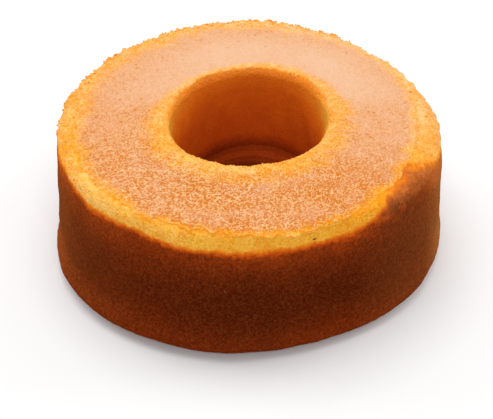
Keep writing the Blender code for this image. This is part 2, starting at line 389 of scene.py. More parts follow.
def shoulder(angle, count):
    """Quarter of a superellipse from the top of the wall up and in to the crust's lip."""
    turn = row(0, np.pi / 2, count + 1)[:, 1:]
    start = WALL_RADIUS + waves(angle, OUTER_WAVES)
    end = crust_edge(angle) - LIP_TUCK
    low, high = shoulder_foot(angle), HEIGHT - lip_step(angle)
    radius = end + (start - end) * np.abs(np.cos(turn)) ** (2 / SHOULDER_POWER)
    return radius, low + (high - low) * np.sin(turn) ** (2 / SHOULDER_POWER)


def top_height(angle, radius):
    """Height of the solid's top face with its own low relief, at any radius of it."""
    start = crust_edge(angle) - LIP_WIDTH
    along = (start - radius) / (start - hole_lip_radius(angle))
    return HEIGHT - TOP_RELIEF + TOP_RELIEF * relief(angle, np.clip(along, 0, 1), 2)


def lip(angle, count):
    """The crust's torn edge: a quarter of an ellipse from its foot on the shoulder up to its top."""
    turn = row(0, np.pi / 2, count, False)
    step = lip_step(angle)
    return crust_edge(angle) - LIP_SLOPE * step * (1 - np.cos(turn)), HEIGHT - step + step * np.sin(turn)


def face(angle, start, end, count):
    """The flat top between two radii, from the outer one inwards."""
    radius = start + (end - start) * row(0, 1, count)
    return radius, top_height(angle, radius)


def hole_lip(angle, count):
    """Quarter of an ellipse from the top over into the hole."""
    start, end = hole_lip_radius(angle), HOLE_NECK_RADIUS + waves(angle, HOLE_WAVES)
    turn = steps(count + 1)[:, 1:] * np.pi / 2
    radius = end + (start - end) * (1 - np.sin(turn))
    over = top_height(angle, start) - HEIGHT + TOP_RELIEF
    height = HEIGHT - TOP_RELIEF - HOLE_LIP_DROP * (1 - np.cos(turn)) + over * np.cos(turn)
    return radius, height


def hole_wall(angle, first, last, count):
    """The wall that the tin's tapered tube left, from one share of its depth to another, narrowing down
    to the back of the ledge."""
    along = row(first, last, count)
    top = HEIGHT - TOP_RELIEF - HOLE_LIP_DROP
    lean = HOLE_NECK_RADIUS + (LEDGE_RADIUS - HOLE_NECK_RADIUS) * along
    uneven = HOLE_RELIEF * np.sin(np.pi * along) * relief(angle, along, 3)
    bottom = LEDGE_HEIGHT + LEDGE_TILT * waves(angle, HOLE_WAVES)
    return lean + waves(angle, HOLE_WAVES) + uneven, top + (bottom - top) * along


def ledge(angle, count):
    """The ledge inside the hole: a groove at its back, a gentle slope and a rounded inner edge, eased
    from one to the next."""
    knots = np.array([0.0, 0.12, 0.45, 0.8, 0.96, 1.0])
    edge_drop = LEDGE_HEIGHT - COLLAR_HEIGHT
    dips = np.array([0.0, LEDGE_DIP, 0.0, LEDGE_DIP, edge_drop - LEDGE_DIP, edge_drop])
    along = steps(count + 1)[:, 1:]
    place = along * (len(knots) - 1)
    here = np.minimum(place.astype(int), len(knots) - 2)
    ease = eased(0, 1, place - here)
    inset = np.interp(place, np.arange(len(knots)), knots) * (LEDGE_RADIUS - COLLAR_RADIUS)
    drop = dips[here] + (dips[here + 1] - dips[here]) * ease
    sway = waves(angle, HOLE_WAVES)
    radius = LEDGE_RADIUS - inset + sway * (1 + (COLLAR_SWAY - 1) * along)
    return radius, LEDGE_HEIGHT - drop + LEDGE_TILT * sway * (1 - along)


def collar(angle, count, foot_count):
    """The narrow bottom of the hole, opening a little towards its foot, which is rounded off."""
    along = steps(count)
    turn = row(0, np.pi / 2, foot_count)
    radius = np.hstack([COLLAR_RADIUS + (COLLAR_FOOT_RADIUS - COLLAR_RADIUS) * along,
                        COLLAR_FOOT_RADIUS + COLLAR_FOOT_HEIGHT * (1 - np.cos(turn))])
    height = np.hstack([COLLAR_HEIGHT + (COLLAR_FOOT_HEIGHT - COLLAR_HEIGHT) * along,
                        COLLAR_FOOT_HEIGHT * (1 - np.sin(turn))])
    return radius + COLLAR_SWAY * waves(angle, HOLE_WAVES), level(angle, height)


def closing(angle, curve):
    """A hidden curve inside the cake that closes a ring: (radius, height) points, the same all round."""
    radius, height = np.array(curve).T.reshape(2, 1, -1)
    return level(angle, radius), level(angle, height)


def cake_axis():
    """Where the cake's own axis stands, so that the widest line's box has its middle over the node's."""
    angle = ring_angles(SOLID_SEGMENTS)
    widest = CROWN_RADIUS + waves(angle, OUTER_WAVES) + waves(angle, CROWN_WAVES)
    x, y = widest * np.cos(angle), widest * np.sin(angle)
    low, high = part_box("ring_cake")
    middle = (low + high) / 2
    return np.array([middle.x - (x.min() + x.max()) / 2, middle.y - (y.min() + y.max()) / 2, low.z])


AXIS = cake_axis()


def placed(angle, radius, height):
    """Points in the frame from radius and height about the cake's axis."""
    return np.stack([radius * np.cos(angle), radius * np.sin(angle), height + 0 * angle], axis=-1) + AXIS


def raised(angle, radius, height, rise):
    """The section pushed by rise along its outward normal, which is the step from the point before to the
    point after, turned a quarter to its right."""
    run, climb = np.gradient(radius, axis=1), np.gradient(height, axis=1)
    length = np.hypot(run, climb) + 1e-12
    return radius + rise * climb / length, height - rise * run / length


# ---- fine relief and where each finish lies

def meal_ridges(points):
    """Baked meal, 1 on a ridge and 0 in a pit: ridges run where two scattered pits are equally far, bent
    by noise. Some pits are shallow, and small ridges cross them."""
    bent = points + 0.0004 * np.stack([noise(points, 0.0017, seed) for seed in (31, 32, 33)], axis=-1)
    near, second, chance = scattered(bent, MEAL_SPACING, 34)
    net = 1 - eased(0.02, 0.45, second - near) * (0.4 + 0.6 * chance)
    fine = 1 - np.clip(1.9 * np.abs(noise(bent, 0.0009, 35)), 0, 1)
    return 0.66 * net + 0.34 * fine


def pores(points):
    """Round pores of the baked skin, 0 to 1: scattered spots, few of them deep."""
    near, _, chance = scattered(points * (1, 1, 0.3), PORE_SPACING, 38)
    return eased(0.33, 0.1, near) * eased(0.25, 1.0, chance) ** 1.5


def lumps_of_crumb(points):
    """Lumps of open crumb, about -1 to 1, 4 and 2 mm across."""
    return noise(points, 0.0045, 22, 2)


def skin_share(points, angle, radius, ridge):
    """1 on the pinkish-brown skin of the top, 0 on the open crumb round the hole and at the rim. The
    change between them is wide and patchy, and starts on the ridges. Where the lip shows, thin skin
    reaches its very edge."""
    patchy = 0.45 * noise(points, 0.0065, 41, 4)
    inset = crust_edge(angle) - radius
    from_hole = (radius - hole_lip_radius(angle)) / (MM * around(angle, RING_WIDTH))
    from_edge = inset / (MM * around(angle, MARGIN_WIDTH))
    inner, outer = eased(-0.3, 1.75, from_hole + patchy), eased(-0.2, 1.4, from_edge + patchy)
    thin = 0.12 + 0.88 * eased(0.0005, 0.0075, inset + 0.005 * patchy)
    share = inner * np.maximum(outer, around(angle, LIP_SHOW) * thin)
    return np.clip(share + 3.0 * (ridge - 0.6) * share * (1 - share), 0, 1)


def side_tone(points, angle, depth):
    """How brown the outside is, 0 to 1, by its depth below the top: not at all in the yellow band, then
    quickly, then slowly down the wall. The band's lower edge is grainy."""
    grain = 0.0006 * noise(points, 0.009, 51, 3) + 0.0004 * noise(points, 0.002, 52, 2)
    blur, quick = around(angle, BAND_BLUR), around(angle, BAND_BROWN)
    below = depth - MM * around(angle, BAND_DEPTH) + grain * blur
    slow = (WALL_BROWN - quick) * eased(0.0, 0.015, below / np.sqrt(blur))
    return quick * eased(-0.0015, 0.0028, below / blur) + slow


def bake_clouds_and_shade(points, angle, height):
    """Uneven baking of the wall with painted shade and light, about -1 to 1: broad soft clouds of baking,
    mottled by its right corner and paler on the bulge below the waist; darkest at the middle of the front,
    which is painted shade, and paler at the sides, which is painted light."""
    clouds = 0.55 * noise(points * (1, 1, 0.8), 0.03, 61, 3) + 0.25 * noise(points, 0.007, 62, 2)
    turn = np.degrees(angle) % 360 - 276
    # front is painted shade at the middle of the front, and flanks is painted light at the sides
    front = bell(turn / 64) * bell((height - 0.035) / 0.018)
    flanks = eased(45, 80, np.abs(turn))
    mottled = bell((turn - 42) / 12) * eased(0.058, 0.07, height) * noise(points, 0.004, 63, 2)
    return clouds + 2.3 * front + 1.8 * mottled - 0.6 * eased(0.02, 0.006, height) - 0.9 * flanks


def pale_and_sheen(points):
    """How pale the skin is: little at the front and left, some at the right, most behind the hole and
    near it, with soft clouds. The paleness behind is partly paler baking and partly painted sheen of the
    light from behind."""
    x, y = points[..., 0], points[..., 1]
    behind = bell(x / 0.05) * bell((y - 0.058) / 0.036)
    near_hole = eased(0.088, 0.06, np.hypot(x, y)) * eased(-0.01, 0.025, y)
    right = eased(0.01, 0.07, x) * eased(-0.075, -0.03, y)
    left = eased(-0.02, -0.07, x) * eased(-0.07, -0.02, y)
    pale = 0.18 * eased(-0.03, 0.02, y) + 0.3 * right + 0.1 * left + 0.46 * behind + 0.28 * near_hole
    return np.clip(pale + 0.1 * noise(points, 0.022, 42, 2), 0, 1)


def top_relief(points, angle, ridge, skin, show):
    """Rise of the top's fine relief, and how hollow it is: ridges of meal, fainter at the sides and back
    and stronger on open crumb, lumps on the crumb, and pores on the skin, which add up to 1 more."""
    contrast = around(angle, TOP_CONTRAST)
    faint = 1 - skin * (1 - contrast) + 0.4 * (1 - skin) * contrast
    pore = 1.3 * pores(points) * skin * (1 - 0.5 * pale_and_sheen(points))
    rise = MEAL_RISE * (0.35 + 0.65 * show) * faint * (ridge - 0.6) - PORE_DEPTH * pore
    rise = rise + (1 - skin) * show * LUMP_RISE * lumps_of_crumb(points)
    hollow = np.clip(0.5 + 1.5 * (0.6 - ridge), 0, 1)
    x, y = points[..., 0], points[..., 1]
    deeper = 0.05 * skin * eased(0.0, 0.05, x) * eased(-0.015, -0.055, y)
    deeper = deeper + (1 - skin) * (around(angle, TOP_DEEP) + 0.38 * noise(points, 0.0042, 87, 2))
    return rise, 0.5 + faint * (hollow - 0.5) + pore + deeper


def top_surface(angle, shown, show=1.0):
    """A section of the top: its points, ridges and skin, its relief's rise and how hollow it is."""
    base = placed(angle, *shown)
    ridge = meal_ridges(base)
    skin = skin_share(base, angle, shown[0], ridge)
    return base, ridge, skin, *top_relief(base, angle, ridge, skin, show)


def top_pale(points, ridge, skin, crumb_pale):
    """Paleness of the skin where it is skin, and elsewhere of the crumb, whose ridges are paler."""
    return np.clip(skin * pale_and_sheen(points) + (1 - skin) * (crumb_pale + CRUMB_FROST * (ridge - 0.55)), 0, 1)


def ring_pale(angle, radius):
    """How pale the crumb round the hole is: by azimuth at the lip, and at the front less away from it."""
    away = np.clip(radius - hole_lip_radius(angle), 0, None)
    return around(angle, RING_PALE) * (1 - around(angle, RING_FADE) * (1 - bell(away / 0.0045)))


def ring_painted_highlight(angle, radius):
    """A painted highlight: how much less hollow, so brighter, the crumb is right at the hole's lip."""
    return 0.8 * around(angle, RING_PAINTED_HIGHLIGHT) * bell((radius - hole_lip_radius(angle)) / 0.0035)


def ring_grid(angle, shown, rise, back, marks):
    """A closed ring's points and marks: the shown section raised by its relief, then the hidden points
    back to its start, whose marks are 0."""
    radius, height = raised(angle, *shown, rise)
    hidden = back[0].shape[1]
    points = placed(angle, np.hstack([radius, back[0]]), np.hstack([height, back[1]]))
    return points, {name: np.pad(np.broadcast_to(value, rise.shape), ((0, 0), (0, hidden)))
                    for name, value in marks.items()}


def joined(*curves):
    """Curves, each (radius, height), as one."""
    return tuple(np.hstack([curve[k] for curve in curves]) for k in range(2))


def side_ring(angle, shown, back):
    """A ring of the outside: velvet relief where it is brown, lumps and ridges of crumb where it is
    yellow, torn into small tips at the rim. Under the lip its colour is deepened to orange, a painted
    shadow, and at the flanks it is golden, partly from baking and partly as painted sheen."""
    base = placed(angle, *shown)
    radius, height = shown
    depth = HEIGHT - height
    tone = side_tone(base, angle, depth)
    ridge = meal_ridges(base)
    open_crumb = eased(0.35, 0.05, tone) * around(angle, CRUMBLINESS)
    crumbs = around(angle, RIM_CRUMBS) * eased(0.0065, 0.003, depth)
    tears = np.clip(0.8 * noise(base, 0.0042, 84) + 1.1 * noise(base, 0.0017, 85) - 0.2, 0, 1)
    rise = SIDE_VELVET * noise(base, 0.003, 81, 2) + SIDE_BUMPS * noise(base, 0.012, 83)
    rise = rise + (SIDE_MEAL + SIDE_CRUMB * open_crumb) * (ridge - 0.6)
    rise = rise + SIDE_LUMPS * open_crumb * lumps_of_crumb(base) + RIM_TEAR * crumbs * tears
    rise = rise * eased(0.0, 0.004, height) * eased(0.0002, 0.0014, depth)
    from_lip = np.hypot(radius - crust_edge(angle), depth - lip_step(angle))
    # lip_shadow: painted orange shadow on the shoulder just under the crust's lip
    lip_shadow = around(angle, LIP_SHADE) * eased(0.0021, 0.0002, from_lip + 0.0007 * noise(base, 0.002, 86))
    hollow = 0.5 + around(angle, BAND_DEEP) + (0.6 - ridge) * (0.35 + 0.85 * open_crumb) + 0.5 * lip_shadow
    hollow = hollow + (0.1 + 0.3 * open_crumb) * noise(base, 0.0045, 87, 2)
    pale = around(angle, RIM_PALE) * (1 - 0.6 * lip_shadow) + 1.6 * CRUMB_FROST * (ridge - 0.53)
    pale = pale + 0.15 * noise(base, 0.0035, 88, 2)
    # golden baking at the flanks and below the band; at the flanks it is partly painted sheen
    gold_and_sheen = around(angle, FLANK_GOLD_AND_SHEEN) + around(angle, BAND_GOLD) * eased(0.8, 0.55, tone)
    pale = pale + (gold_and_sheen - pale) * eased(0.2, 0.4, tone)
    tip = crumbs * eased(0.35, 0.9, tears)
    marks = {"tone": tone + 0.16 * lip_shadow + 0.22 * tip, "bake_and_shade": bake_clouds_and_shade(base, angle, height),
             "hollow": np.clip(hollow, 0, 1), "skin": 0.0, "pale": np.clip(pale, 0, 1)}
    return ring_grid(angle, shown, rise, back, marks)


def shoulder_ring():
    """The yellow shoulder and the top of the wall, in under the crust's lip."""
    angle = ring_angles(FINE_ROUNDS)
    shown = joined(wall(angle, SHOULDER_SHARE, 1.0, 28), shoulder(angle, 38))
    return side_ring(angle, shown, closing(angle, ((0.0885, 0.0755), (0.088, 0.069), (0.089, 0.061))))


def wall_ring():
    """The browned wall from the waist to the shoulder."""
    angle = ring_angles(WALL_ROUNDS)
    shown = wall(angle, 0.0, SHOULDER_SHARE, 90)
    return side_ring(angle, shown, closing(angle, ((0.089, 0.061), (0.089, 0.024))))


def crown_ring():
    """The flat foot and the bulging crown, up to the waist."""
    angle = ring_angles(CROWN_ROUNDS)
    waist = (TIN_LINE_RADIUS + waves(angle, OUTER_WAVES), tin_line_height(angle))
    shown = joined(foot(angle, 40), crown(angle, 30, 32), waist)
    start = (inner_foot(angle) + 0.003, level(angle, np.array([[0.004]])))
    return side_ring(angle, shown, joined(closing(angle, ((0.092, 0.019), (0.088, 0.008))), start))


def crust_ring():
    """The outer part of the top crust: its torn lip, and its pored face as far as the split. By the lip,
    at the front, it curls up in broken stretches with a pale crest, and is wrinkled. The lip's cut foot
    is bare, and deepened to amber as painted shadow of the lip."""
    angle = ring_angles(FINE_ROUNDS)
    edge, step = crust_edge(angle), lip_step(angle)
    show, folded = around(angle, LIP_SHOW), around(angle, FOLD_SHOW)
    shown = joined(lip(angle, 8), face(angle, edge - LIP_SLOPE * step, CRUST_SPLIT_RADIUS, 58))
    base, ridge, skin, rise, hollow = top_surface(angle, shown)
    inset = edge - shown[0]
    broken = eased(-0.35, 0.55, noise(base, 0.0022, 91, 2))
    curl = 1.2 * LIP_RISE * show * (0.3 + 0.7 * folded) * broken * bell(inset / 0.0009)
    sway = 2.2 * noise(base, 0.005, 94, 2)
    fold = folded * eased(-0.5, 0.5, noise(base, 0.006, 92)) * np.sin(inset / FOLD_WIDTH + sway)
    fold = fold * eased(0.0002, 0.001, inset) * bell(inset / 0.0048)
    # bare_and_shaded: the lip's cut foot, bare of skin and deepened to amber as painted shadow
    bare_and_shaded = show * eased(0.95, 0.35, (shown[1] - HEIGHT) / step + 1) * (inset < 0.002)
    crest = folded * broken * bell((inset - 0.0006) / 0.0006)
    orange = show * bell(inset / 0.004)
    skin = np.clip(skin + 0.35 * crest + 0.3 * fold, 0, 1) * (1 - bare_and_shaded)
    marks = {"skin": skin, "hollow": np.clip(hollow + 0.2 * orange - 0.45 * crest - 0.7 * fold, 0, 2),
             "pale": top_pale(base, ridge, skin, around(angle, RIM_PALE)),
             "tone": side_tone(base, angle, -2.0 * inset) + 0.17 * bare_and_shaded, "bake_and_shade": 0.0}
    back = closing(angle, ((CRUST_SPLIT_RADIUS, CRUST_BACK_HEIGHT), (0.086, CRUST_BACK_HEIGHT)))
    back = joined(back, (edge, HEIGHT - step - 0.001))
    return ring_grid(angle, shown, rise + curl + FOLD_RISE * fold, back, marks)


def inner_crust_ring():
    """The inner part of the top crust, from the split to the rim of the hole."""
    angle = ring_angles(FINE_ROUNDS)
    shown = face(angle, CRUST_SPLIT_RADIUS, RIM_SPLIT_RADIUS, 68)
    base, ridge, skin, rise, hollow = top_surface(angle, shown)
    marks = {"skin": skin, "hollow": hollow - ring_painted_highlight(angle, shown[0]),
             "pale": top_pale(base, ridge, skin, ring_pale(angle, shown[0])), "tone": 0.0, "bake_and_shade": 0.0}
    back = closing(angle, [(split, CRUST_BACK_HEIGHT) for split in (RIM_SPLIT_RADIUS, CRUST_SPLIT_RADIUS)])
    return ring_grid(angle, shown, rise, back, marks)


def hole_tone(points, angle, radius, height):
    """How brown the hole is, 0 to 1: none on the rim, amber just below it, then orange-brown, soon at the
    back and slowly at the sides, and darkest in the groove behind the ledge and below, which is partly the
    crust's brown and partly painted shade."""
    down = HEIGHT - TOP_RELIEF - height
    inwards = np.clip(hole_lip_radius(angle) - radius, 0, HOLE_LIP_RADIUS - HOLE_NECK_RADIUS)
    deep = down + inwards * around(angle, HOLE_EDGE_IN)
    deep = deep + 0.0007 * noise(points, 0.006, 101, 2) + 0.0006 * noise(points, 0.0016, 103)
    quick = around(angle, HOLE_BROWN)
    slow = (HOLE_WALL_BROWN - quick) * eased(0.002, 1.0, deep / (MM * around(angle, HOLE_REACH)))
    # darker deep in the hole: partly brown crust and partly painted shade
    lowest_brown_and_shade = 0.04 * eased(0.02, 0.04, deep) + 0.17 * eased(0.044, 0.054, deep)
    return quick * eased(0.0, 0.0036, deep) + slow + lowest_brown_and_shade


def hole_marks(base, angle, shown, ridge, skin, hollow):
    """The marks of the hole and its rim: brown by the hole's tone, and pale only as far as its lip."""
    radius, height = shown
    pale = top_pale(base, ridge, skin, ring_pale(angle, radius)) * eased(0.0045, 0.0008, HEIGHT - height)
    return {"skin": skin, "hollow": hollow - ring_painted_highlight(angle, radius),
            "tone": hole_tone(base, angle, radius, height), "bake_and_shade": 0.6 * noise(base, 0.016, 102, 3),
            "pale": pale}


def rim_ring():
    """The crumbly rim of the hole: the last of the top, rounded over into the hole, and the top of its
    wall."""
    angle = ring_angles(FINE_ROUNDS)
    shown = joined(face(angle, RIM_SPLIT_RADIUS, hole_lip_radius(angle), 16), hole_lip(angle, 28),
                   hole_wall(angle, 0.0, HOLE_SHARE, 24))
    base, ridge, skin, rise, hollow = top_surface(angle, shown, around(angle, RIM_ROUGHNESS))
    fade = 0.12 + 0.88 * eased(0.007, 0.0015, HEIGHT - shown[1])
    back = closing(angle, ((0.048, 0.066), (0.052, 0.07)))
    marks = hole_marks(base, angle, shown, ridge, skin, hollow * fade)
    return ring_grid(angle, shown, rise * fade, back, marks)


def hole_ring():
    """The hole's tapered wall, the ledge, and the collar down to its foot."""
    angle = ring_angles(HOLE_ROUNDS)
    shown = joined(hole_wall(angle, HOLE_SHARE, 1.0, 72), ledge(angle, 34), collar(angle, 22, 8))
    base = placed(angle, *shown)
    ridge = meal_ridges(base)
    rise = HOLE_MEAL * (ridge - 0.6) + HOLE_VELVET * noise(base, 0.003, 93, 2)
    back = closing(angle, ((0.044, 0.003), (0.052, 0.01), (0.05, 0.064)))
    marks = hole_marks(base, angle, shown, ridge, 0.0, 0.3 * (1 - ridge))
    return ring_grid(angle, shown, rise, back, marks)


# ---- meshes

def grid_faces(rounds, along):
    """Four-sided faces of a grid that closes on itself both round the ring and along the section."""
    i, j = np.meshgrid(np.arange(rounds), np.arange(along), indexing="ij")
    this, after = i * along, (i + 1) % rounds * along
    ahead = (j + 1) % along
    return np.stack([this + j, after + j, after + ahead, this + ahead], axis=-1).reshape(-1, 4)


def grid_normals(points):
    """The outward direction at each point of a closed grid: the step round crossed with the step along."""
    onward = np.roll(points, -1, axis=0) - np.roll(points, 1, axis=0)
    along = np.roll(points, -1, axis=1) - np.roll(points, 1, axis=1)
    normal = np.cross(onward, along)
    return normal / (np.linalg.norm(normal, axis=-1, keepdims=True) + 1e-15)


def in_scene(name, data):
    """A new object of the scene."""
    made = bpy.data.objects.new(name, data)
    bpy.context.scene.collection.objects.link(made)
    return made


def fill(target, label, values, kind=np.float32):
    """One array given whole to a mesh."""
    target.foreach_set(label, np.ascontiguousarray(values, dtype=kind).ravel())


def new_piece(name, points, faces, finish, marks=None):
    """One smooth mesh object in the frame, with its marks as point attributes and its finish."""
    mesh = bpy.data.meshes.new(name)
    mesh.vertices.add(len(points))
    fill(mesh.vertices, "co", points)
    mesh.loops.add(faces.size)
    fill(mesh.loops, "vertex_index", faces, np.int32)
    mesh.polygons.add(len(faces))
    fill(mesh.polygons, "loop_start", np.arange(0, faces.size, faces.shape[1]), np.int32)
    mesh.update(calc_edges=True)
    mesh.shade_smooth()
    mesh.set_sharp_from_angle(angle=SEAM_ANGLE)
    for mark, values in (marks or {}).items():
        fill(mesh.attributes.new(mark, "FLOAT", "POINT").data, "value", values)
    mesh.materials.append(finish)
    piece = in_scene(name, mesh)
    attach(piece, "root")
    return piece


def ring_piece(name, ring, finish):
    """A closed ring as a piece that stands, with the others, for the cake's solid."""
    points, marks = ring
    piece = new_piece(name, points.reshape(-1, 3), grid_faces(*points.shape[:2]), finish, marks)
    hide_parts("ring_cake")
    return piece


# ---- shader building

def add(tree, kind, inputs=None, **settings):
    """A new node of a tree. An input is given by name or place, as a value or as another node's output."""
    made = tree.nodes.new("ShaderNode" + kind)
    for name, value in settings.items():
        setattr(made, name, value)
    for key, value in (inputs or {}).items():
        if isinstance(value, bpy.types.NodeSocket):
            tree.links.new(value, made.inputs[key])
        else:
            made.inputs[key].default_value = value
    return made


def maths(tree, operation, first, second=0.0, third=0.0):
    """One operation on numbers."""
    return add(tree, "Math", {0: first, 1: second, 2: third}, operation=operation).outputs[0]


def scaled(tree, value, factor, plus=0.0):
    """value times factor, and plus added."""
    return maths(tree, "MULTIPLY_ADD", value, factor, plus)


def remap(tree, value, low, high, new_low=0.0, new_high=1.0):
    """value read between low and high on an S-shaped curve, and given out between the new ends."""
    ends = {"Value": value, "From Min": low, "From Max": high, "To Min": new_low, "To Max": new_high}
    return add(tree, "MapRange", ends, interpolation_type="SMOOTHSTEP").outputs["Result"]


def blended(tree, share, first, second):
    """Two colours mixed, 0 the first and 1 the second: each is a node's output, or red, green and blue."""
    first, second = (colour if isinstance(colour, bpy.types.NodeSocket) else (*colour, 1.0)
                     for colour in (first, second))
    return add(tree, "Mix", {0: share, 6: first, 7: second}, data_type="RGBA").outputs[2]


def noise_texture(tree, place, scale, detail, roughness=0.5):
    """The outputs of a noise texture."""
    return add(tree, "TexNoise", {"Vector": place, "Scale": scale, "Detail": detail,
                                  "Roughness": roughness}).outputs


def new_group(name, numbers, build, place=True):
    """A shader node group. Its inputs are a vector, if it has a place, and numbers with their usual
    values. build makes its nodes from its inputs and gives its outputs by name."""
    tree = bpy.data.node_groups.new(name, "ShaderNodeTree")
    if place:
        tree.interface.new_socket("Vector", in_out="INPUT", socket_type="NodeSocketVector")
    for label, value in numbers.items():
        tree.interface.new_socket(label, in_out="INPUT", socket_type="NodeSocketFloat").default_value = value
    made = build(tree, tree.nodes.new("NodeGroupInput").outputs)
    for label, output in made.items():
        kind = "NodeSocketColor" if output.type == "RGBA" else "NodeSocketFloat"
        tree.interface.new_socket(label, in_out="OUTPUT", socket_type=kind)
    result = tree.nodes.new("NodeGroupOutput")
    for label, output in made.items():
        tree.links.new(output, result.inputs[label])
    return tree


def use_group(tree, group, inputs):
    """A group placed in a material with its own values; gives the group's outputs."""
    return add(tree, "Group", inputs, node_tree=group).outputs


def crumb_grain(tree, given):
    """Fine crumb: noise of the given size, cut by small round pits a little larger."""
    scale = maths(tree, "DIVIDE", 1.0, given["Size"])
    grain = noise_texture(tree, given["Vector"], scale, 3.0, 0.62)["Fac"]
    spots = add(tree, "TexVoronoi", {"Vector": given["Vector"], "Scale": scaled(tree, scale, 0.6)},
                feature="SMOOTH_F1").outputs["Distance"]
    pits = maths(tree, "MULTIPLY", remap(tree, spots, 0.42, 0.08), given["Pits"])
    height = maths(tree, "SUBTRACT", grain, pits)
    return {"Height": height, "Shade": remap(tree, height, -0.25, 0.75)}


def meal_curls(tree, given):
    """Short worm-like ridges of meal of the given size: a ridge where a noise, looked up at a place bent
    by another noise, passes through its middle."""
    scale = maths(tree, "DIVIDE", 1.0, given["Size"])
    drift = noise_texture(tree, given["Vector"], scale, 0.0)["Color"]
    centred = add(tree, "VectorMath", {0: drift, 1: (-0.5, -0.5, -0.5)}, operation="ADD").outputs[0]
    bent = add(tree, "VectorMath", {0: centred, 1: given["Size"], 2: given["Vector"]},
               operation="MULTIPLY_ADD").outputs[0]
    field = noise_texture(tree, bent, scale, 1.0)["Fac"]
    return {"Ridge": remap(tree, maths(tree, "ABSOLUTE", scaled(tree, field, 1.0, -0.5)), 0.13, 0.0)}


def meal_specks(tree, given):
    """Sparse small spots: scattered cells of the given size, of which the given share shows its
    middle."""
    scale = maths(tree, "DIVIDE", 1.0, given["Size"])
    cells = add(tree, "TexVoronoi", {"Vector": given["Vector"], "Scale": scale}).outputs
    spot = remap(tree, maths(tree, "DIVIDE", cells["Distance"], given["Spread"]), 1.0, 0.5)
    chance = add(tree, "SeparateColor", {"Color": cells["Color"]}).outputs[0]
    return {"Mask": maths(tree, "MULTIPLY", spot, maths(tree, "LESS_THAN", chance, given["Share"]))}


def browning(tree, given):
    """The colour of baked meal by how brown it is: yellow crumb, amber, then orange-brown to dark brown."""
    ramp = add(tree, "ValToRGB", {"Fac": given["Amount"]})
    stops = ramp.color_ramp.elements
    while len(stops) < len(BROWNING):
        stops.new(0.5)
    for stop, (place, colour) in zip(stops, BROWNING.items()):
        stop.position = place
        stop.color = (*colour, 1.0)
    return {"Color": ramp.outputs["Color"]}


# Colours as linear reflectances, of baked meal by how brown it is
BROWNING = {
    0.0: (0.86, 0.38, 0.03), 0.16: (0.78, 0.25, 0.015), 0.34: (0.66, 0.135, 0.006),
    0.52: (0.475, 0.066, 0.0048), 0.68: (0.232, 0.03, 0.0034), 0.84: (0.124, 0.0155, 0.0024),
    1.0: (0.068, 0.0085, 0.0016)}
# A ridge's colour, its pale one, a hollow's and its pale one; the skin's pale ones are partly painted sheen
SKIN = ((0.765, 0.45, 0.212), (0.69, 0.44, 0.335), (0.56, 0.152, 0.005), (0.67, 0.4, 0.215))
CRUMB = ((0.84, 0.47, 0.06), (0.83, 0.475, 0.225), (0.755, 0.245, 0.005), (0.79, 0.345, 0.075))
SKIN_PORE = (0.54, 0.17, 0.028)
FLECK = (0.36, 0.11, 0.024)
# Golden browns of the flanks and below the band: partly golden baking, partly painted sheen
GOLD_AND_SHEEN_BROWN, GOLD_AND_SHEEN_PALE = (0.33, 0.115, 0.027), (0.43, 0.165, 0.045)
SKIN_MAUVE = (0.7, 0.36, 0.225)
SPECK_DARK, SPECK_PALE = (0.085, 0.03, 0.009), (0.2, 0.075, 0.022)


def mark(tree, name):
    """A point attribute of the piece as a number."""
    return add(tree, "Attribute", attribute_name=name, attribute_type="GEOMETRY").outputs["Fac"]


def cloud(tree, place, size, detail=2.0):
    """Soft noise of the given size in metres, about 0 to 1."""
    return noise_texture(tree, place, 1 / size, detail, 0.55)["Fac"]


def two_tone(tree, hollow, pale, colours):
    """A ridge colour and a hollow colour by the hollow mark, each shifted to its pale one by the pale
    mark."""
    ridge, ridge_pale, deep, deep_pale = colours
    return blended(tree, hollow, blended(tree, pale, ridge, ridge_pale), blended(tree, pale, deep, deep_pale))


def new_material(name, specular):
    """A material with its tree and its Principled shader's inputs."""
    material = bpy.data.materials.new(name)
    material.use_nodes = True
    shader = material.node_tree.nodes["Principled BSDF"].inputs
    shader["Specular IOR Level"].default_value = specular
    return material, material.node_tree, shader


